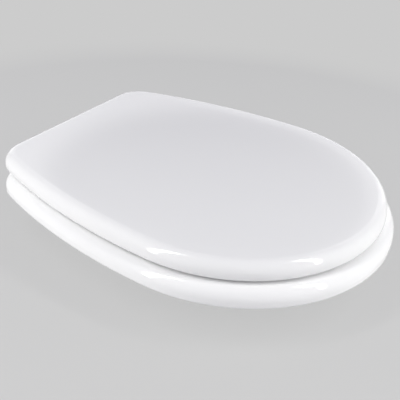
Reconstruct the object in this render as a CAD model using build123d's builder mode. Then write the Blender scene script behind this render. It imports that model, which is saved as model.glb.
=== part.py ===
from build123d import *
import os
from math import cos, hypot, radians, sin, sqrt

# Toilet seat with lid: a hollow moulded lid and ring on two concealed hinges, with the buffers and
# the fixings that clamp it to the pan. Millimetres, Z up, nose towards -Y, rear edge towards +Y.
# The origin is midway between the two fixing bolts, on the pan's top face.

# Pan that the seat is made for
fixing_spacing = 155.0  # centres of the two fixing holes
pan_thickness = 20.0  # china between the foot pads and the rubber washers

# Ring in plan
ring_width = 368.0
ring_length = 430.0
ring_rear_width = 270.0  # across the rear edge, before its corners are rounded
ring_corner_radius = 42.0
ring_rear_y = 24.0  # rear edge, behind the bolts
opening_width = 226.0
opening_front_land = 71.0  # from the nose of the ring to the opening
opening_rear_land = 82.0
opening_rear_radius = 84.0

# Ring in section
ring_lift = 8.0  # underside of the ring above the pan
ring_height = 23.0
ring_edge_radius = 13.0  # outer edge, above
ring_foot_radius = 6.0  # outer edge, below
ring_wall = 7.5  # outer wall
ring_roof = 5.0  # top wall, also round the lip of the opening
ring_roof_radius = 6.0  # inside corner of wall and roof
dish_width = 40.0  # sitting surface that falls towards the opening
dish_depth = 5.0
lip_radius = 9.0
lip_foot_radius = 4.0

# Lid
lid_side_reveal = 9.0  # ring seen beside the lid
lid_front_reveal = 12.0
lid_rear_overhang = 8.0
lid_corner_radius = 42.0
lid_gap = 2.0
lid_wall = 8.5
lid_roof = 5.0
lid_foot_radius = 7.0  # lower edge
lid_side = 1.3  # upright side between its two rounded edges
lid_edge_radius = 13.0  # upper edge
crown_width = 16.0  # band where the top starts to fall towards the upper edge
crown_drop = 0.2
inner_roll_width = 20.0
inner_roll_height = 9.0
inner_roll_radius = 7.0

# Hinges
axis_behind_ring = 4.0
axis_below_lid = 9.0
knuckle_radius = 6.5
pin_radius = 3.0
pin_chamfer = 0.5
pin_clearance = 0.05
eye_width = 14.0
lug_width = 8.0
lug_gap = 0.5
lid_lug_height = 12.0  # into the lid, above its underside
notch_clearance = 1.5
notch_front_clearance = 4.5  # ahead of the knuckles, under the rounded edge of the ring
arm_top = 1.0  # above the axis
leg_front = 19.0  # in front of the axis
leg_rear = 11.0
leg_corner_radius = 6.0
leg_inner_radius = 3.0
foot_radius = 18.0
foot_thickness = 5.0
foot_edge = 1.5
pad_thickness = 1.5
pocket_rib_width = 4.0
pocket_rib_length = 42.0
pocket_rib_height = 14.0

# Fixing bolts and what holds them under the pan
shank_radius = 4.0
neck_radius = 5.0  # shoulder inside the foot and its pad
thread_radius = 3.6
thread_length = 18.0
thread_chamfer = 1.0
bolt_head_width = 13.0  # across flats
bolt_head_height = 5.5
fit_clearance = 0.05
rubber_washer_radius = 13.0
rubber_washer_tip_radius = 10.0
rubber_washer_thickness = 3.0
steel_washer_radius = 9.0
steel_washer_thickness = 1.5
nut_hub_radius = 7.5
nut_hub_height = 9.0
nut_span = 34.0
nut_wing_thickness = 4.0
nut_wing_height = 11.0
nut_wing_radius = 4.0
nut_wing_drop = 3.0  # wings below the top of the hub

# Buffers
ring_buffer_radius = 11.5
ring_buffer_foot_radius = 9.5
ring_buffer_edge = 1.2
ring_stem_radius = 3.5
ring_stem_length = 10.0
ring_boss_radius = 8.0
ring_boss_recess = 1.0  # boss above the underside of the ring
ring_buffer_inset = 36.0  # from the outer edge of the ring
ring_buffer_setback = 119.0  # rear pair, from the rear edge of the ring
lid_buffer_radius = 7.5
lid_buffer_foot_radius = 6.5
lid_buffer_edge = 0.8
lid_stem_radius = 3.0
lid_stem_length = 8.0
lid_boss_radius = 7.0
lid_boss_recess = 3.0
lid_buffer_inset = 19.0  # from the edge of the lid
lid_buffer_setback = 152.0  # rear pair, from the rear edge of the lid
lid_buffer_clearance = 0.3  # above the ring
front_buffer_angle = 45.0  # front pairs, round the nose from its widest line
socket_depth = 1.0  # room above a stem
overlap = 2.0  # bosses, ribs and panels run this far into the walls that carry them

# Heights and places worked out from the sizes above
ring_bottom = ring_lift
ring_top = ring_bottom + ring_height
ring_ceiling = ring_top - ring_roof
ring_front_y = ring_rear_y - ring_length
ring_boss_bottom = ring_bottom + ring_boss_recess
opening_front_y = ring_front_y + opening_front_land
opening_rear_y = ring_rear_y - opening_rear_land
lid_bottom = ring_top + lid_gap
roll_width = lid_edge_radius + crown_width
roll_height = lid_edge_radius + crown_drop
lid_height = lid_foot_radius + lid_side + roll_height
lid_ceiling = lid_bottom + lid_height - lid_roof
lid_boss_bottom = lid_bottom + lid_boss_recess
lid_rear_y = ring_rear_y + lid_rear_overhang
lid_width = ring_width - 2 * lid_side_reveal
lid_length = lid_rear_y - ring_front_y - lid_front_reveal
lid_rear_width = ring_rear_width - 2 * lid_side_reveal
axis_y = ring_rear_y + axis_behind_ring
axis_z = lid_bottom - axis_below_lid
eye_inner_x = (fixing_spacing - eye_width) / 2
eye_outer_x = eye_inner_x + eye_width
ring_lug_outer_x = eye_inner_x - lug_gap
ring_lug_inner_x = ring_lug_outer_x - lug_width
lid_lug_inner_x = eye_outer_x + lug_gap
lid_lug_outer_x = lid_lug_inner_x + lug_width
pin_bore_radius = pin_radius + pin_clearance
foot_bottom = pad_thickness
foot_top = foot_bottom + foot_thickness
rubber_washer_top = -pan_thickness
steel_washer_top = rubber_washer_top - rubber_washer_thickness
nut_top = steel_washer_top - steel_washer_thickness
sides = {"left": -1, "right": 1}

os.makedirs("parts", exist_ok=True)


def save(piece, name):
    piece.part.label = name
    export_step(piece.part, f"parts/{name}.step")


def seat_plan(width, length, rear_width, corner_radius, rear_y, z):
    """D-shaped plan: round nose, gently bowed sides, straight rear edge with round corners."""
    nose_y = rear_y - length + width / 2
    with BuildSketch(Plane.XY.offset(z)) as plan:
        with BuildLine():
            ThreePointArc((-width / 2, nose_y), (0, rear_y - length), (width / 2, nose_y))
            TangentArc((width / 2, nose_y), (rear_width / 2, rear_y), tangent=(0, 1))
            Line((rear_width / 2, rear_y), (-rear_width / 2, rear_y))
            TangentArc((-width / 2, nose_y), (-rear_width / 2, rear_y), tangent=(0, 1))
        make_face()
        fillet(plan.vertices().group_by(Axis.Y)[-1], radius=corner_radius)
    return plan.sketch


def opening_plan(z):
    """Egg-shaped plan of the opening: a round front, a smaller round rear, bowed sides."""
    half_width = opening_width / 2
    front_centre_y = opening_front_y + half_width
    span = opening_rear_y - opening_rear_radius - front_centre_y
    spare = half_width - opening_rear_radius
    bow_radius = (half_width**2 - opening_rear_radius**2 + span**2) / (2 * spare)
    bow_centre_x = half_width - bow_radius
    reach = hypot(bow_centre_x, span)
    join_x = bow_centre_x - bow_radius * bow_centre_x / reach
    join_y = front_centre_y + bow_radius * span / reach
    with BuildSketch(Plane.XY.offset(z)) as plan:
        with BuildLine():
            ThreePointArc((-half_width, front_centre_y), (0, opening_front_y), (half_width, front_centre_y))
            TangentArc((half_width, front_centre_y), (join_x, join_y), tangent=(0, 1))
            ThreePointArc((join_x, join_y), (0, opening_rear_y), (-join_x, join_y))
            TangentArc((-half_width, front_centre_y), (-join_x, join_y), tangent=(0, 1))
        make_face()
    return plan.sketch


def buffer_spots(width, length, rear_width, rear_y, inset, setback):
    """Spots of a front and a rear pair of buffers, a given inset from the edge of a D-shaped plan."""
    nose_y = rear_y - length + width / 2
    nose_reach = width / 2 - inset
    angle = radians(front_buffer_angle)
    run = rear_y - nose_y
    sag = (width - rear_width) / 2
    bow_radius = (run**2 + sag**2) / (2 * sag)
    bow_drop = bow_radius - sqrt(bow_radius**2 - (run - setback) ** 2)
    front_spot = (nose_reach * cos(angle), nose_y - nose_reach * sin(angle))
    rear_spot = (nose_reach - bow_drop, rear_y - setback)
    return {
        f"{row}_{side}": (sign * spot[0], spot[1])
        for row, spot in (("front", front_spot), ("rear", rear_spot))
        for side, sign in sides.items()
    }


def rim_plane(y, z, into):
    """Section plane across an edge at x = 0; its first axis points along Y into the material."""
    return Plane(origin=(0, y, z), x_dir=(0, into, 0), z_dir=(into, 0, 0))


def shoulder(start, width, top, drop, tight_radius):
    """Two tangent arcs from a level crest down to an upright end: a wide one, then a tight one."""
    run = width - tight_radius
    wide_radius = (run**2 + drop**2 - tight_radius**2) / (2 * (drop - tight_radius))
    reach = wide_radius - tight_radius
    join_x = start + width - wide_radius * run / reach
    join_z = top - wide_radius + wide_radius * (wide_radius - drop) / reach
    wide_arc = TangentArc((start + width, top), (join_x, join_z), tangent=(-1, 0))
    TangentArc(wide_arc @ 1, (start, top - drop), tangent=wide_arc % 1)


def post(spot, radius, z, length, mode=Mode.ADD):
    """Upright cylinder from z, upwards for a positive length."""
    with BuildSketch(Plane.XY.offset(z)) as disc:
        with Locations(spot):
            Circle(radius)
    extrude(disc.sketch, amount=length, mode=mode)


def boss(spot, radius, bottom, ceiling, stem_radius, stem_length):
    """Boss that hangs from a ceiling, with a socket for a buffer's stem."""
    post(spot, radius, bottom, ceiling + overlap - bottom)
    post(spot, stem_radius + fit_clearance, bottom, stem_length + socket_depth, Mode.SUBTRACT)


def knuckle(start_x, end_x, root_y, root_z, width, height):
    """Hinge knuckle round the axis with a rectangular root, its corner given from the axis."""
    with BuildSketch(Plane.YZ.offset(min(start_x, end_x))) as section:
        with Locations((axis_y, axis_z)):
            Circle(knuckle_radius)
            with Locations((root_y, root_z)):
                Rectangle(width, height, align=(Align.MIN, Align.MIN))
            Circle(pin_bore_radius, mode=Mode.SUBTRACT)
    extrude(section.sketch, amount=abs(end_x - start_x))


def buffer(spot, bottom, shoulder_z, foot_radius, radius, edge, stem_radius, stem_length):
    """Tapered buffer with a stem, turned about its own axis."""
    with BuildSketch(Plane(origin=(*spot, 0), x_dir=(1, 0, 0), z_dir=(0, -1, 0))) as section:
        with BuildLine():
            Polyline(
                (0, bottom),
                (foot_radius - edge, bottom),
                (foot_radius, bottom + edge),
                (radius, shoulder_z),
                (stem_radius, shoulder_z),
                (stem_radius, shoulder_z + stem_length),
                (0, shoulder_z + stem_length),
                close=True,
            )
        make_face()
    revolve(section.sketch, axis=Axis((*spot, 0), (0, 0, 1)))


ring_plan = seat_plan(
    ring_width, ring_length, ring_rear_width, ring_corner_radius, ring_rear_y, ring_bottom
)
lid_plan = seat_plan(lid_width, lid_length, lid_rear_width, lid_corner_radius, lid_rear_y, lid_bottom)
hole_plan = opening_plan(ring_bottom)
ring_buffer_spots = buffer_spots(
    ring_width, ring_length, ring_rear_width, ring_rear_y, ring_buffer_inset, ring_buffer_setback
)
lid_buffer_spots = buffer_spots(
    lid_width, lid_length, lid_rear_width, lid_rear_y, lid_buffer_inset, lid_buffer_setback
)

# Lid: a rim section swept round the plan, closed by a flat panel, with bosses and hinge lugs below
lid_inner_top = lid_height - lid_roof
lid_inner_end = lid_inner_top - inner_roll_height
lid_rim_depth = max(roll_width, lid_wall + inner_roll_width) + 2 * overlap
with BuildPart() as lid:
    with BuildSketch(rim_plane(lid_rear_y, lid_bottom, -1)) as lid_section:
        with BuildLine():
            RadiusArc((lid_foot_radius, 0), (0, lid_foot_radius), lid_foot_radius)
            Line((0, lid_foot_radius), (0, lid_height - roll_height))
            shoulder(0, roll_width, lid_height, roll_height, lid_edge_radius)
            Line((roll_width, lid_height), (lid_rim_depth, lid_height))
            Line((lid_rim_depth, lid_height), (lid_rim_depth, lid_inner_top))
            Line((lid_rim_depth, lid_inner_top), (lid_wall + inner_roll_width, lid_inner_top))
            shoulder(lid_wall, inner_roll_width, lid_inner_top, inner_roll_height, inner_roll_radius)
            Line((lid_wall, lid_inner_end), (lid_wall, 0))
            Line((lid_wall, 0), (lid_foot_radius, 0))
        make_face()
    sweep(path=lid_plan.face().outer_wire())
    with BuildSketch(Plane.XY.offset(lid_ceiling)):
        add(lid_plan)
        offset(amount=overlap - lid_rim_depth, mode=Mode.REPLACE)
    extrude(amount=lid_roof)
    for spot in lid_buffer_spots.values():
        boss(spot, lid_boss_radius, lid_boss_bottom, lid_ceiling, lid_stem_radius, lid_stem_length)
    for sign in sides.values():
        knuckle(
            sign * lid_lug_inner_x,
            sign * lid_lug_outer_x,
            -knuckle_radius,
            0,
            knuckle_radius + overlap,
            axis_below_lid + lid_lug_height,
        )
save(lid, "lid")

# Ring: an outer rim section and a lip section, each swept round its own plan, joined by a flat top
ring_inner_top = ring_height - ring_roof
ring_inner_end = ring_inner_top - ring_roof_radius
dish_drop = dish_depth + lip_radius
rim_depth = ring_wall + ring_roof_radius + 2 * overlap
lip_depth = dish_width + 2 * overlap
notch_front_y = axis_y - knuckle_radius - notch_front_clearance
notch_outer_x = lid_lug_outer_x + notch_clearance
slot_outer_x = eye_outer_x + notch_clearance
slot_depth = ring_wall + ring_roof_radius + notch_clearance
with BuildPart() as seat_ring:
    with BuildSketch(rim_plane(ring_rear_y, ring_bottom, -1)) as rim_section:
        with BuildLine():
            RadiusArc((ring_foot_radius, 0), (0, ring_foot_radius), ring_foot_radius)
            Line((0, ring_foot_radius), (0, ring_height - ring_edge_radius))
            RadiusArc((0, ring_height - ring_edge_radius), (ring_edge_radius, ring_height), ring_edge_radius)
            Line((ring_edge_radius, ring_height), (rim_depth, ring_height))
            Line((rim_depth, ring_height), (rim_depth, ring_inner_top))
            Line((rim_depth, ring_inner_top), (ring_wall + ring_roof_radius, ring_inner_top))
            RadiusArc(
                (ring_wall + ring_roof_radius, ring_inner_top), (ring_wall, ring_inner_end), -ring_roof_radius
            )
            Line((ring_wall, ring_inner_end), (ring_wall, 0))
            Line((ring_wall, 0), (ring_foot_radius, 0))
        make_face()
    sweep(path=ring_plan.face().outer_wire())
    with BuildSketch(rim_plane(opening_rear_y, ring_bottom, 1)) as lip_section:
        with BuildLine():
            RadiusArc((0, lip_foot_radius), (lip_foot_radius, 0), -lip_foot_radius)
            Line((0, lip_foot_radius), (0, ring_height - dish_drop))
            shoulder(0, dish_width, ring_height, dish_drop, lip_radius)
            Line((dish_width, ring_height), (lip_depth, ring_height))
            Line((lip_depth, ring_height), (lip_depth, ring_inner_top))
            Line((lip_depth, ring_inner_top), (dish_width, ring_inner_top))
            shoulder(
                ring_roof, dish_width - ring_roof, ring_inner_top, dish_drop - ring_roof, lip_radius - ring_roof
            )
            Line((ring_roof, ring_height - dish_drop), (ring_roof, 0))
            Line((ring_roof, 0), (lip_foot_radius, 0))
        make_face()
    sweep(path=hole_plan.face().outer_wire())
    with BuildSketch(Plane.XY.offset(ring_ceiling)):
        add(ring_plan)
        offset(amount=overlap - rim_depth, mode=Mode.REPLACE)
        offset(hole_plan, amount=lip_depth - overlap, mode=Mode.SUBTRACT)
    extrude(amount=ring_roof)
    for spot in ring_buffer_spots.values():
        boss(spot, ring_boss_radius, ring_boss_bottom, ring_ceiling, ring_stem_radius, ring_stem_length)
    for sign in sides.values():
        # Notch for the knuckles, a slot under the roof for the foot's arm, then the lug and its ribs
        with BuildSketch(Plane.XY.offset(ring_bottom)):
            with Locations((sign * (ring_lug_outer_x + notch_outer_x) / 2, notch_front_y)):
                Rectangle(
                    notch_outer_x - ring_lug_outer_x, axis_y - notch_front_y, align=(Align.CENTER, Align.MIN)
                )
        extrude(amount=ring_height, mode=Mode.SUBTRACT)
        with BuildSketch(Plane.XY.offset(ring_bottom)):
            with Locations((sign * (ring_lug_outer_x + slot_outer_x) / 2, ring_rear_y)):
                Rectangle(slot_outer_x - ring_lug_outer_x, slot_depth, align=(Align.CENTER, Align.MAX))
        extrude(amount=ring_ceiling - ring_bottom, mode=Mode.SUBTRACT)
        knuckle(
            sign * ring_lug_inner_x,
            sign * ring_lug_outer_x,
            -axis_behind_ring - ring_wall,
            -knuckle_radius,
            axis_behind_ring + ring_wall,
            2 * knuckle_radius,
        )
        for rib_x in (ring_lug_inner_x + lug_width / 2, lid_lug_inner_x + lug_width / 2):
            with BuildSketch(Plane.XY.offset(ring_ceiling + overlap)):
                with Locations((sign * rib_x, ring_rear_y - ring_wall + overlap)):
                    Rectangle(pocket_rib_width, pocket_rib_length + overlap, align=(Align.CENTER, Align.MAX))
            extrude(amount=-pocket_rib_height - overlap)
save(seat_ring, "seat_ring")

# Ring buffers stand on the pan; their stems press into the ring's bosses
for place, spot in ring_buffer_spots.items():
    with BuildPart() as ring_buffer:
        buffer(
            spot,
            0,
            ring_boss_bottom,
            ring_buffer_foot_radius,
            ring_buffer_radius,
            ring_buffer_edge,
            ring_stem_radius,
            ring_stem_length,
        )
    save(ring_buffer, f"{place}_ring_buffer")

# Lid buffers keep the lid's edge off the ring
for place, spot in lid_buffer_spots.items():
    with BuildPart() as lid_buffer:
        buffer(
            spot,
            ring_top + lid_buffer_clearance,
            lid_boss_bottom,
            lid_buffer_foot_radius,
            lid_buffer_radius,
            lid_buffer_edge,
            lid_stem_radius,
            lid_stem_length,
        )
    save(lid_buffer, f"{place}_lid_buffer")

# Hinge hardware and fixings, the same on both sides
thread_bore_radius = thread_radius + fit_clearance
neck_bore_radius = neck_radius + fit_clearance
arm_height = axis_z + arm_top
arm_under = axis_z - knuckle_radius
for side, sign in sides.items():
    bolt_spot = (sign * fixing_spacing / 2, 0)

    # Foot: a disc on the pan whose cranked arm reaches back, under the ring's roof, to the eye
    with BuildPart() as hinge_foot:
        post(bolt_spot, foot_radius, foot_bottom, foot_thickness)
        chamfer(hinge_foot.edges().group_by(Axis.Z)[-1], length=foot_edge)
        with BuildSketch(Plane.YZ.offset(bolt_spot[0] - eye_width / 2)) as bracket:
            with BuildLine():
                Polyline(
                    (axis_y, arm_height),
                    (axis_y - leg_front, arm_height),
                    (axis_y - leg_front, foot_bottom),
                    (axis_y - leg_rear, foot_bottom),
                    (axis_y - leg_rear, arm_under),
                    (axis_y, arm_under),
                    close=True,
                )
            make_face()
            elbow = bracket.vertices().sort_by_distance((axis_y - leg_front, arm_height))[0]
            fillet(elbow, radius=leg_corner_radius)
            crook = bracket.vertices().sort_by_distance((axis_y - leg_rear, arm_under))[0]
            fillet(crook, radius=leg_inner_radius)
            with Locations((axis_y, axis_z)):
                Circle(knuckle_radius)
                Circle(pin_bore_radius, mode=Mode.SUBTRACT)
        extrude(amount=eye_width)
        post(bolt_spot, neck_bore_radius, foot_bottom, foot_thickness, Mode.SUBTRACT)
    save(hinge_foot, f"{side}_hinge_foot")

    with BuildPart() as hinge_pin:
        with BuildSketch(Plane.YZ.offset(min(sign * ring_lug_inner_x, sign * lid_lug_outer_x))):
            with Locations((axis_y, axis_z)):
                Circle(pin_radius)
        extrude(amount=lid_lug_outer_x - ring_lug_inner_x)
        chamfer(hinge_pin.edges().filter_by(GeomType.CIRCLE), length=pin_chamfer)
    save(hinge_pin, f"{side}_hinge_pin")

    with BuildPart() as foot_pad:
        post(bolt_spot, foot_radius, 0, pad_thickness)
        post(bolt_spot, neck_bore_radius, 0, pad_thickness, Mode.SUBTRACT)
    save(foot_pad, f"{side}_foot_pad")

    # Bolt: head and neck in the foot, a plain shank through the pan, then the thread
    with BuildPart() as fixing_bolt:
        with BuildSketch(Plane.XY.offset(foot_top)):
            with Locations(bolt_spot):
                RegularPolygon(bolt_head_width / 2, 6, major_radius=False)
        extrude(amount=bolt_head_height)
        post(bolt_spot, neck_radius, 0, foot_top)
        post(bolt_spot, shank_radius, 0, -pan_thickness)
        post(bolt_spot, thread_radius, rubber_washer_top, -thread_length)
        chamfer(fixing_bolt.edges().group_by(Axis.Z)[0], length=thread_chamfer)
    save(fixing_bolt, f"{side}_fixing_bolt")

    with BuildPart() as rubber_washer:
        with BuildSketch(Plane(origin=(*bolt_spot, 0), x_dir=(1, 0, 0), z_dir=(0, -1, 0))):
            with BuildLine():
                Polyline(
                    (thread_bore_radius, rubber_washer_top),
                    (rubber_washer_radius, rubber_washer_top),
                    (rubber_washer_tip_radius, steel_washer_top),
                    (thread_bore_radius, steel_washer_top),
                    close=True,
                )
            make_face()
        revolve(axis=Axis((*bolt_spot, 0), (0, 0, 1)))
    save(rubber_washer, f"{side}_rubber_washer")

    with BuildPart() as steel_washer:
        post(bolt_spot, steel_washer_radius, steel_washer_top, -steel_washer_thickness)
        post(bolt_spot, thread_bore_radius, steel_washer_top, -steel_washer_thickness, Mode.SUBTRACT)
    save(steel_washer, f"{side}_steel_washer")

    with BuildPart() as wing_nut:
        post(bolt_spot, nut_hub_radius, nut_top, -nut_hub_height)
        with BuildSketch(Plane.XZ):
            with Locations((bolt_spot[0], nut_top - nut_wing_drop - nut_wing_height / 2)):
                RectangleRounded(nut_span, nut_wing_height, nut_wing_radius)
        extrude(amount=nut_wing_thickness / 2, both=True)
        post(bolt_spot, thread_bore_radius, nut_top, -nut_wing_drop - nut_wing_height, Mode.SUBTRACT)
    save(wing_nut, f"{side}_wing_nut")
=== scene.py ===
# %% [markdown]
# The toilet seat arrives as a packed set of solids: a lid, a ring, their buffers, two hinges and the
# fixings that clamp them to the pan. They are loaded once and stay where they are. Everything that
# follows gives them light, a floor and surfaces, so the box they fill is noted first.

# %% Load the seat
import math

import bmesh
import bpy
from mathutils import Matrix, Vector


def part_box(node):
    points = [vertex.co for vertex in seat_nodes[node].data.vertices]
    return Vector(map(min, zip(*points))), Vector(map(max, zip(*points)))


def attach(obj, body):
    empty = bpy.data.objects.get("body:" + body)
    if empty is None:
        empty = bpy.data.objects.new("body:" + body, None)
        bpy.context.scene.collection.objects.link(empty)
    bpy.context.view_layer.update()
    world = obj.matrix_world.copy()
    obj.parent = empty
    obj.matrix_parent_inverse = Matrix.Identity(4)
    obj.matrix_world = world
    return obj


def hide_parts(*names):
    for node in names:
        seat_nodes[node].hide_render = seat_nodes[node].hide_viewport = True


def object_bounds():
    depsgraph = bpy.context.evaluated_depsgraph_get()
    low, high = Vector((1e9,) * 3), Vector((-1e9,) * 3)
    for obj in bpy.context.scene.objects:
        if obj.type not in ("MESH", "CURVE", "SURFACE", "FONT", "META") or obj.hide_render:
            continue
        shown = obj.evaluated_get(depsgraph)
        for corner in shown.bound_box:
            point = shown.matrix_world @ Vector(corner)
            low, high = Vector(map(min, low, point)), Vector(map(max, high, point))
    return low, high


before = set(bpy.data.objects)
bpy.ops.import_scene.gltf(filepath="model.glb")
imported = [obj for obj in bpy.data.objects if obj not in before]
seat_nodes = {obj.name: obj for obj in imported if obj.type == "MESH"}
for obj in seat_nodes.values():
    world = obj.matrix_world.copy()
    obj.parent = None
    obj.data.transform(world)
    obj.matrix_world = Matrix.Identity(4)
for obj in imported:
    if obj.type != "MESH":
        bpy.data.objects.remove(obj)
solid_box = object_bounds()
print("pieces of the seat:", len(seat_nodes))
print("box of the solids, metres:", [tuple(round(v, 4) for v in corner) for corner in solid_box])

# %% [markdown]
# The seat was photographed from its left front and from above, with a camera that was slightly
# tilted. A camera can be set by three angles, but a spot, an aiming point and a roll are easier to
# read: it stands at the spot, looks at the point, and then turns about its own line of sight.

# %% Camera at the photograph's place
camera_spot = Vector((-0.62851, -0.54635, 0.44906))
aiming_point = Vector((-0.03862, -0.19737, 0.03005))
camera_roll = math.radians(4.253)
sensor_width_mm, focal_length_mm = 36.0, 63.255

lens = bpy.data.cameras.new("seat_camera")
lens.sensor_width = sensor_width_mm
lens.lens = focal_length_mm
lens.clip_start = 0.01
lens.clip_end = 100.0
camera = bpy.data.objects.new("seat_camera", lens)
look = (aiming_point - camera_spot).to_track_quat("-Z", "Y").to_matrix().to_4x4()
camera.matrix_world = Matrix.Translation(camera_spot) @ look @ Matrix.Rotation(camera_roll, 4, "Z")
bpy.context.scene.collection.objects.link(camera)
bpy.context.scene.camera = camera
bpy.context.scene.view_settings.view_transform = "Standard"
print("camera to aiming point, metres:", round((aiming_point - camera_spot).length, 4))

# %% [markdown]
# Materials here are small networks of nodes. Four helpers keep the later cells short: one starts a
# finish with its main shader, one adds a node and fills in its values, one sets an end of a range, and
# one joins two sockets.

# %% Helpers for finishes
def start_finish(name):
    """New finish and its main shader."""
    finish = bpy.data.materials.new(name)
    finish.use_nodes = True
    return finish, finish.node_tree.nodes["Principled BSDF"]


def add_node(finish, kind, settings=None, **values):
    """New node with its settings and the values of its sockets."""
    node = finish.node_tree.nodes.new(kind)
    for key, value in (settings or {}).items():
        setattr(node, key, value)
    for key, value in values.items():
        node.inputs[key.replace("_", " ")].default_value = value
    return node


def set_range(node, end, low, high):
    """Both values of one end of a Map Range node; the end is From or To."""
    node.inputs[end + " Min"].default_value = low
    node.inputs[end + " Max"].default_value = high


def link(finish, start, end):
    """Joins an output of one node to an input of another."""
    finish.node_tree.links.new(start, end)


print("helpers ready")

# %% [markdown]
# A studio floor is a sheet of grey paper. A plain disc does for it, low enough that the lid can turn
# right over without touching it. Close to the seat the paper is lit and takes its shadow; further
# out it fades into the even grey of the backdrop, so that no horizon shows from any side.

# %% Paper floor
seat_middle = Vector((0.0, -0.19, 0.03))
backdrop_grey = (0.604, 0.604, 0.604, 1.0)
floor_clearance = 0.007
floor_height = solid_box[0][2] - floor_clearance
floor_reach, floor_sides = 12.0, 96

paper = bmesh.new()
bmesh.ops.create_circle(paper, cap_ends=True, segments=floor_sides, radius=floor_reach)
paper_mesh = bpy.data.meshes.new("paper_floor")
paper.to_mesh(paper_mesh)
paper.free()
paper_floor = bpy.data.objects.new("paper_floor", paper_mesh)
paper_floor.location = (seat_middle.x, seat_middle.y, floor_height)
bpy.context.scene.collection.objects.link(paper_floor)
print("floor height, metres:", round(floor_height, 4))

# %% [markdown]
# The photograph's background is one even grey, and a lit sheet alone would be patchy under several
# lamps. So what the camera or a mirror sees is the lit paper mixed with an even glow of that grey:
# enough paper to keep a soft shadow, enough glow to stay even. Light that bounces on to the seat
# from close by still comes from plain paper.

# %% Paper finish
paper_grey = (0.70, 0.70, 0.70, 1.0)
paper_roughness = 0.9
glow_share = 0.8
fade_start, fade_end = 0.28, 0.75

paper_finish, paper_shader = start_finish("floor_paper")
paper_shader.inputs["Base Color"].default_value = paper_grey
paper_shader.inputs["Roughness"].default_value = paper_roughness
paper_shader.inputs["Specular IOR Level"].default_value = 0.0
paper_place = add_node(paper_finish, "ShaderNodeTexCoord")
paper_distance = add_node(paper_finish, "ShaderNodeVectorMath", {"operation": "LENGTH"})
paper_fade = add_node(paper_finish, "ShaderNodeMapRange", {"interpolation_type": "SMOOTHSTEP"})
set_range(paper_fade, "From", fade_start, fade_end)
link(paper_finish, paper_place.outputs["Object"], paper_distance.inputs[0])
link(paper_finish, paper_distance.outputs["Value"], paper_fade.inputs["Value"])
print("paper fades between", fade_start, "and", fade_end, "metres from its middle")


# %% Glow of the paper
def seen_or_mirrored(nodes, links):
    """Socket that is 1 for rays of the camera, of mirrors and of clear things, and 0 for stray light."""
    ray_kind = nodes.new("ShaderNodeLightPath")
    total = ray_kind.outputs["Is Camera Ray"]
    for kind in ("Is Glossy Ray", "Is Transmission Ray"):
        either = nodes.new("ShaderNodeMath")
        either.operation = "MAXIMUM"
        links.new(total, either.inputs[0])
        links.new(ray_kind.outputs[kind], either.inputs[1])
        total = either.outputs["Value"]
    return total


seen_glow = add_node(paper_finish, "ShaderNodeMath", {"operation": "MULTIPLY"})
seen_glow.inputs[1].default_value = glow_share
most_glow = add_node(paper_finish, "ShaderNodeMath", {"operation": "MAXIMUM"})
even_grey = add_node(paper_finish, "ShaderNodeEmission", Color=backdrop_grey, Strength=1.0)
paper_mix = add_node(paper_finish, "ShaderNodeMixShader")
paper_end = paper_finish.node_tree.nodes["Material Output"]
paper_seen = seen_or_mirrored(paper_finish.node_tree.nodes, paper_finish.node_tree.links)
link(paper_finish, paper_seen, seen_glow.inputs[0])
link(paper_finish, seen_glow.outputs["Value"], most_glow.inputs[0])
link(paper_finish, paper_fade.outputs["Result"], most_glow.inputs[1])
link(paper_finish, most_glow.outputs["Value"], paper_mix.inputs["Fac"])
link(paper_finish, paper_shader.outputs["BSDF"], paper_mix.inputs[1])
link(paper_finish, even_grey.outputs["Emission"], paper_mix.inputs[2])
link(paper_finish, paper_mix.outputs["Shader"], paper_end.inputs["Surface"])
paper_mesh.materials.append(paper_finish)
print("share of even grey near the seat:", glow_share)

# %% [markdown]
# The room round the seat is one even dome. Eyes and mirrors see it as the backdrop's grey, and its
# light is cooler than the lamps', which gives the flat lid its faint lavender cast.

# %% Dome of soft light
dome_light = (0.94, 0.92, 1.28, 1.0)
dome_strength = 0.17

dome = bpy.data.worlds.new("studio_dome")
bpy.context.scene.world = dome
dome.use_nodes = True
dome_nodes, dome_links = dome.node_tree.nodes, dome.node_tree.links
soft_light = dome_nodes["Background"]
soft_light.inputs["Color"].default_value = dome_light
soft_light.inputs["Strength"].default_value = dome_strength
seen_grey = dome_nodes.new("ShaderNodeBackground")
seen_grey.inputs["Color"].default_value = backdrop_grey
dome_mix = dome_nodes.new("ShaderNodeMixShader")
dome_links.new(seen_or_mirrored(dome_nodes, dome_links), dome_mix.inputs["Fac"])
dome_links.new(soft_light.outputs["Background"], dome_mix.inputs[1])
dome_links.new(seen_grey.outputs["Background"], dome_mix.inputs[2])
dome_links.new(dome_mix.outputs["Shader"], dome_nodes["World Output"].inputs["Surface"])
print("dome strength:", dome_strength)

# %% [markdown]
# Two large softboxes stand low, at the seat's rear left and off its nose. They whiten the upright
# edges that face them and leave the part of the rim between them a little greyer. A weak softbox fills
# in from the camera's side. All three are kept out of mirrors, or they would burn out the gloss of the
# edges. Two tall strips lean in above them: they light the flat top, and the lid's rounded edge
# mirrors each of them as one short bright streak. They hang nearer than the rest, so the top is
# brightest towards the front. The lamps are faintly warm, so that with the cool dome the upright edges
# come out neutral.

# %% Softboxes and strips
lamp_white = (1.0, 1.0, 0.96)


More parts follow.
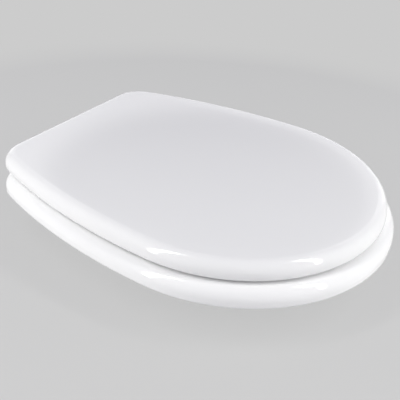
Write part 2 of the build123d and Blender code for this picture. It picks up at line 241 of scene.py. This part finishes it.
def hang_lamp(name, heading, height, brightness, width, length, distance, lean=0.0, mirrored=True):
    """Flat lamp that faces the seat; heading, height and lean are angles seen from the seat."""
    turn, rise = math.radians(heading), math.radians(height)
    towards = Vector((math.cos(turn) * math.cos(rise), math.sin(turn) * math.cos(rise), math.sin(rise)))
    shade = bpy.data.lights.new(name, "AREA")
    shade.shape = "RECTANGLE"
    shade.size, shade.size_y = width, length
    shade.energy = brightness * math.pi * width * length
    shade.color = lamp_white
    lamp = bpy.data.objects.new(name, shade)
    facing = (-towards).to_track_quat("-Z", "Y").to_matrix().to_4x4()
    spot = Matrix.Translation(seat_middle + towards * distance)
    lamp.matrix_world = spot @ facing @ Matrix.Rotation(math.radians(lean), 4, "Z")
    lamp.visible_camera = False
    lamp.visible_glossy = mirrored
    bpy.context.scene.collection.objects.link(lamp)


softbox = {"width": 0.8, "length": 0.8, "distance": 1.8, "mirrored": False}
left_strip = {"width": 0.115, "length": 1.40, "distance": 1.2, "lean": 4.2}
nose_strip = {"width": 0.10, "length": 1.16, "distance": 1.2, "lean": -16.9}
hang_lamp("left_softbox", heading=120.0, height=10.0, brightness=5.9, **softbox)
hang_lamp("nose_softbox", heading=300.0, height=10.0, brightness=6.3, **softbox)
hang_lamp("front_fill", heading=210.0, height=10.0, brightness=1.2, **softbox)
hang_lamp("left_strip", heading=159.6, height=38.8, brightness=15.8, **left_strip)
hang_lamp("nose_strip", heading=274.4, height=38.6, brightness=18.8, **nose_strip)

# %% [markdown]
# A polished lid mirrors what stands behind it. In the photograph its far rim is paler than its middle,
# as if a pale sheet with a darker oval hung there. Such a sheet is made here, out of the picture, and
# only mirrors see it, so it gives the seat no other light.

# %% Graduated sheet behind the seat
sheet_heading = math.radians(30.0)
sheet_distance = 1.5
sheet_half_width, sheet_low, sheet_high = 1.5, -0.04, 1.9

sheet_corners = [(-sheet_half_width, sheet_low), (sheet_half_width, sheet_low)]
sheet_corners += [(sheet_half_width, sheet_high), (-sheet_half_width, sheet_high)]
sheet_mesh = bpy.data.meshes.new("graduated_sheet")
sheet_mesh.from_pydata([(across, above, 0.0) for across, above in sheet_corners], [], [(0, 1, 2, 3)])
graduated_sheet = bpy.data.objects.new("graduated_sheet", sheet_mesh)
away = Vector((math.cos(sheet_heading), math.sin(sheet_heading), 0.0))
sheet_foot = Vector((seat_middle.x, seat_middle.y, 0.0)) + away * sheet_distance
upright = Matrix.Rotation(sheet_heading + math.pi / 2, 4, "Z") @ Matrix.Rotation(math.pi / 2, 4, "X")
graduated_sheet.matrix_world = Matrix.Translation(sheet_foot) @ upright
for kind_of_ray in ("camera", "diffuse", "shadow"):
    setattr(graduated_sheet, "visible_" + kind_of_ray, False)
bpy.context.scene.collection.objects.link(graduated_sheet)
print("sheet stands at", [round(v, 3) for v in sheet_foot])

# %% Glow of the sheet
oval_middle, oval_reach = (0.0, 1.05), (0.63, 0.395)
fade_inside, fade_outside = 0.86, 1.14
sheet_dark, sheet_pale = 0.56, 1.65

sheet_finish, _ = start_finish("sheet_glow")
sheet_place = add_node(sheet_finish, "ShaderNodeTexCoord")
oval = add_node(sheet_finish, "ShaderNodeMapping", {"vector_type": "TEXTURE"})
oval.inputs["Location"].default_value = (*oval_middle, 0.0)
oval.inputs["Scale"].default_value = (*oval_reach, 1.0)
oval_distance = add_node(sheet_finish, "ShaderNodeVectorMath", {"operation": "LENGTH"})
oval_edge = add_node(sheet_finish, "ShaderNodeMapRange", {"interpolation_type": "SMOOTHSTEP"})
set_range(oval_edge, "From", fade_inside, fade_outside)
set_range(oval_edge, "To", sheet_dark, sheet_pale)
sheet_glow = add_node(sheet_finish, "ShaderNodeEmission")
sheet_end = sheet_finish.node_tree.nodes["Material Output"]
link(sheet_finish, sheet_place.outputs["Object"], oval.inputs["Vector"])
link(sheet_finish, oval.outputs["Vector"], oval_distance.inputs[0])
link(sheet_finish, oval_distance.outputs["Value"], oval_edge.inputs["Value"])
link(sheet_finish, oval_edge.outputs["Result"], sheet_glow.inputs["Strength"])
link(sheet_finish, sheet_glow.outputs["Emission"], sheet_end.inputs["Surface"])
sheet_mesh.materials.append(sheet_finish)
print("sheet glows from", sheet_dark, "in its oval to", sheet_pale)

# %% [markdown]
# The lid and the ring are pressed from a hard white thermosetting resin and polished. Such a skin is
# glossy but never optically flat: it has a slow swell from the press tool, a very fine orange peel,
# and a tone that drifts by a percent or so. Noise at four sizes gives all of that. The ring's tones
# are a touch whiter than the lid's: that is painted light, standing in for the brighter light that
# falls on the ring's sides.

# %% Helper for the white gloss
drift_scale, polish_scale, swell_scale, peel_scale = 7.0, 55.0, 32.0, 850.0
polish_best, polish_worst = 0.05, 0.09
swell_depth, peel_share = 0.00002, 0.04


def white_gloss(name, tones):
    """Polished white skin that drifts between two close tones."""
    finish, shader = start_finish(name)
    place = add_node(finish, "ShaderNodeTexCoord").outputs["Object"]
    drift = add_node(finish, "ShaderNodeTexNoise", Scale=drift_scale, Detail=2.0, Roughness=0.5)
    tone = add_node(finish, "ShaderNodeMix", {"data_type": "RGBA"})
    tone.inputs["A"].default_value = (*tones[0], 1.0)
    tone.inputs["B"].default_value = (*tones[1], 1.0)
    polish = add_node(finish, "ShaderNodeTexNoise", Scale=polish_scale, Detail=3.0, Roughness=0.6)
    rough = add_node(finish, "ShaderNodeMapRange")
    set_range(rough, "To", polish_best, polish_worst)
    swell = add_node(finish, "ShaderNodeTexNoise", Scale=swell_scale, Detail=1.0)
    peel = add_node(finish, "ShaderNodeTexNoise", Scale=peel_scale, Detail=1.0)
    relief = add_node(finish, "ShaderNodeMath", {"operation": "MULTIPLY_ADD"})
    relief.inputs[1].default_value = peel_share
    bump = add_node(finish, "ShaderNodeBump", Strength=1.0, Distance=swell_depth)
    for noise in (drift, polish, swell, peel):
        link(finish, place, noise.inputs["Vector"])
    link(finish, drift.outputs["Fac"], tone.inputs["Factor"])
    link(finish, tone.outputs["Result"], shader.inputs["Base Color"])
    link(finish, polish.outputs["Fac"], rough.inputs["Value"])
    link(finish, rough.outputs["Result"], shader.inputs["Roughness"])
    link(finish, peel.outputs["Fac"], relief.inputs[0])
    link(finish, swell.outputs["Fac"], relief.inputs[2])
    link(finish, relief.outputs["Value"], bump.inputs["Height"])
    link(finish, bump.outputs["Normal"], shader.inputs["Normal"])
    return finish


print("white gloss ready")


# %% Lid and ring
def dress(finish, names):
    """Gives each named piece this finish."""
    for name in names:
        skin = seat_nodes[name].data.materials
        skin.clear()
        skin.append(finish)


lid_tones = ((0.838, 0.838, 0.842), (0.852, 0.852, 0.854))
# The ring's tones are whiter than the lid's as painted light: they stand in for brighter light on its
# sides.
ring_tones_with_painted_light = ((0.882, 0.882, 0.884), (0.894, 0.894, 0.894))
dress(white_gloss("white_gloss_lid", lid_tones), ["lid"])
dress(white_gloss("white_gloss_ring_with_painted_light", ring_tones_with_painted_light), ["seat_ring"])
print("white gloss on lid and ring")

# %% [markdown]
# The smaller pieces are rubber, plastic and steel. All of them have a cloudy tone and a fine grain that
# shows in the shine as much as in the relief, so one helper makes such a finish from a few numbers.
# Stretching the grain along one axis turns it into the lines that a brush or a lathe leaves.

# %% Helper for grained finishes
grain_low, grain_high = 0.3, 0.7


def grained_finish(name, tones, shine, cloud_scale, grain_scale, relief, stretch=(1.0, 1.0, 1.0)):
    """Finish between two tones and two roughnesses; relief is the depth of its grain in metres."""
    finish, shader = start_finish(name)
    place = add_node(finish, "ShaderNodeTexCoord")
    clouds = add_node(finish, "ShaderNodeTexNoise", Scale=cloud_scale, Detail=3.0)
    tone = add_node(finish, "ShaderNodeMix", {"data_type": "RGBA"})
    tone.inputs["A"].default_value = (*tones[0], 1.0)
    tone.inputs["B"].default_value = (*tones[1], 1.0)
    drawn_out = add_node(finish, "ShaderNodeMapping", Scale=stretch)
    grain = add_node(finish, "ShaderNodeTexNoise", Scale=grain_scale, Detail=3.0, Roughness=0.6)
    rough = add_node(finish, "ShaderNodeMapRange")
    set_range(rough, "From", grain_low, grain_high)
    set_range(rough, "To", *shine)
    bump = add_node(finish, "ShaderNodeBump", Strength=1.0, Distance=relief)
    link(finish, place.outputs["Object"], clouds.inputs["Vector"])
    link(finish, place.outputs["Object"], drawn_out.inputs["Vector"])
    link(finish, drawn_out.outputs["Vector"], grain.inputs["Vector"])
    link(finish, clouds.outputs["Fac"], tone.inputs["Factor"])
    link(finish, tone.outputs["Result"], shader.inputs["Base Color"])
    link(finish, grain.outputs["Fac"], rough.inputs["Value"])
    link(finish, rough.outputs["Result"], shader.inputs["Roughness"])
    link(finish, grain.outputs["Fac"], bump.inputs["Height"])
    link(finish, bump.outputs["Normal"], shader.inputs["Normal"])
    return finish, shader


print("grained finishes ready")

# %% [markdown]
# Eight buffers keep the ring off the pan and the lid off the ring. They are a soft, slightly greyed
# plastic that grips the pan, with the matt skin of a spark-eroded mould: no mirror image, only a broad
# sheen. A fine even grain and a wide roughness give that.

# %% Buffers
buffer_plastic, buffer_shader = grained_finish(
    "buffer_plastic",
    tones=((0.66, 0.66, 0.65), (0.75, 0.75, 0.74)),
    shine=(0.42, 0.62),
    cloud_scale=90.0,
    grain_scale=2200.0,
    relief=0.00003,
)
buffer_shader.inputs["Specular IOR Level"].default_value = 0.42
buffers = [name for name in seat_nodes if name.endswith("_buffer")]
dress(buffer_plastic, buffers)
print("buffers dressed:", len(buffers))

# %% [markdown]
# The hinge feet are cast stainless steel, brushed from front to rear; the pins, bolts and washers are
# turned, so their lines run round their own axes. The three finishes differ only in the axis along
# which the grain is stretched. Steel gets its colour from what it mirrors, so the tones stay close.

# %% Brushed and turned steel
steel_tones = ((0.53, 0.525, 0.51), (0.63, 0.625, 0.61))
brush_stretch = {
    "brushed_steel_feet": (1.0, 0.02, 1.0),
    "turned_steel_pins": (1.0, 0.03, 0.03),
    "turned_steel_fixings": (0.03, 0.03, 1.0),
}
steel = {}
for finish_name, stretch in brush_stretch.items():
    steel[finish_name], steel_shader = grained_finish(
        finish_name,
        tones=steel_tones,
        shine=(0.20, 0.36),
        cloud_scale=45.0,
        grain_scale=2600.0,
        relief=0.000004,
        stretch=stretch,
    )
    steel_shader.inputs["Metallic"].default_value = 1.0
for side in ("left", "right"):
    dress(steel["brushed_steel_feet"], [side + "_hinge_foot"])
    dress(steel["turned_steel_pins"], [side + "_hinge_pin"])
    dress(steel["turned_steel_fixings"], [side + "_steel_washer"])
print("steel finishes:", sorted(steel))

# %% [markdown]
# Black rubber lies under the feet and under the pan, so that the steel never touches the china. New
# rubber carries a thin grey bloom in clouds and is matt with a leathery grain.

# %% Black rubber
black_rubber, rubber_shader = grained_finish(
    "black_rubber",
    tones=((0.020, 0.020, 0.021), (0.046, 0.046, 0.047)),
    shine=(0.50, 0.74),
    cloud_scale=160.0,
    grain_scale=1600.0,
    relief=0.00004,
)
rubber_shader.inputs["Specular IOR Level"].default_value = 0.38
for side in ("left", "right"):
    dress(black_rubber, [side + "_foot_pad", side + "_rubber_washer"])
print("black rubber on pads and washers")

# %% [markdown]
# The wing nuts are moulded from white nylon. It is a touch warmer than the gloss of the seat, lets a
# little light in under its skin and has the silky sheen of a plain steel mould.

# %% White nylon of the wing nuts
white_nylon, nylon_shader = grained_finish(
    "white_nylon",
    tones=((0.74, 0.735, 0.705), (0.80, 0.795, 0.775)),
    shine=(0.30, 0.46),
    cloud_scale=110.0,
    grain_scale=1900.0,
    relief=0.000015,
)
nylon_shader.inputs["Subsurface Weight"].default_value = 0.12
nylon_shader.inputs["Subsurface Radius"].default_value = (0.8, 0.75, 0.6)
nylon_shader.inputs["Subsurface Scale"].default_value = 0.0015
dress(white_nylon, ["left_wing_nut", "right_wing_nut"])
print("white nylon on the wing nuts")

# %% [markdown]
# A bolt is a row of steps from its head to its tip, and a thread is a groove that climbs as it goes
# round. Both are circles of points whose radius depends on the height and, in the thread, also on the
# angle. The circles are laid from the head down and joined into one skin; the hexagon of the head is
# the same circle with its radius divided by a cosine.

# %% Shape of a fixing bolt
bolt_low, bolt_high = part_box("left_fixing_bolt")
_, washer_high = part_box("left_rubber_washer")
head_top, bolt_end = bolt_high.z, bolt_low.z
head_across_flats = bolt_high.y - bolt_low.y
head_height = 0.0055
head_bottom = head_top - head_height
head_crown_radius, head_chamfer_slope = 0.0062, 0.5
pan_top = 0.0
shank_end = washer_high.z
neck_radius, shank_radius, thread_radius = 0.005, 0.004, 0.0036
thread_pitch, thread_depth = 0.00125, 0.00055
tip_chamfer = 0.001
points_round, steps_per_turn = 48, 8
sharp_angle = math.radians(32.0)


def hexagon_radius(angle):
    """From the bolt's axis to the side of its head."""
    sixth = math.radians(60.0)
    return head_across_flats / 2 / math.cos(angle % sixth - sixth / 2)


def chamfered_head(angle):
    """Radius and height of the line where the chamfer meets the sides of the head."""
    corner = hexagon_radius(angle)
    return corner, head_top - head_chamfer_slope * (corner - head_crown_radius)


def thread_point(angle, height):
    """Radius and height in the thread, which runs out at the shank and is chamfered at the tip."""
    climb = (height / thread_pitch + angle / math.tau) % 1.0
    groove = thread_depth * (1.0 - abs(2.0 * climb - 1.0))
    run_out = min(1.0, (shank_end - height) / thread_pitch)
    tip = thread_radius - tip_chamfer + (height - bolt_end)
    return min(thread_radius - groove * run_out, tip), height


print("thread turns:", round((shank_end - bolt_end) / thread_pitch, 1))


# %% Bolts
def bolt_circles():
    """Each circle is a rule that gives radius and height at an angle, from the head to the tip."""
    circles = [lambda angle: (head_crown_radius, head_top), chamfered_head]
    circles.append(lambda angle: (hexagon_radius(angle), head_bottom))
    steps = [(neck_radius, head_bottom), (neck_radius, pan_top), (shank_radius, pan_top)]
    steps += [(shank_radius, shank_end), (thread_radius, shank_end)]
    circles += [lambda angle, step=step: step for step in steps]
    rows = round((shank_end - bolt_end) / thread_pitch * steps_per_turn)
    for row in range(1, rows + 1):
        height = shank_end + (bolt_end - shank_end) * row / rows
        circles.append(lambda angle, height=height: thread_point(angle, height))
    return circles


def make_bolt(name, across):
    """One skin over the bolt's circles, its axis this far from the seat's middle line."""
    skin = bmesh.new()
    angles = [math.tau * step / points_round for step in range(points_round)]
    rings = []
    for circle in bolt_circles():
        ring = []
        for angle in angles:
            radius, height = circle(angle)
            point = (across + radius * math.cos(angle), radius * math.sin(angle), height)
            ring.append(skin.verts.new(point))
        rings.append(ring)
    for upper, lower in zip(rings, rings[1:]):
        for step in range(points_round):
            after = (step + 1) % points_round
            skin.faces.new((upper[step], lower[step], lower[after], upper[after]))
    skin.faces.new(rings[0])
    skin.faces.new(rings[-1][::-1])
    mesh = bpy.data.meshes.new(name)
    skin.to_mesh(mesh)
    skin.free()
    mesh.polygons.foreach_set("use_smooth", [True] * len(mesh.polygons))
    mesh.set_sharp_from_angle(angle=sharp_angle)
    mesh.materials.append(steel["turned_steel_fixings"])
    bolt = bpy.data.objects.new(name, mesh)
    bpy.context.scene.collection.objects.link(bolt)
    return bolt


for side in ("left", "right"):
    low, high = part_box(side + "_fixing_bolt")
    threaded_bolt = make_bolt(side + "_threaded_bolt", (low.x + high.x) / 2)
    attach(threaded_bolt, "mounting")
    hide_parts(side + "_fixing_bolt")
    print(threaded_bolt.name, "faces:", len(threaded_bolt.data.polygons))
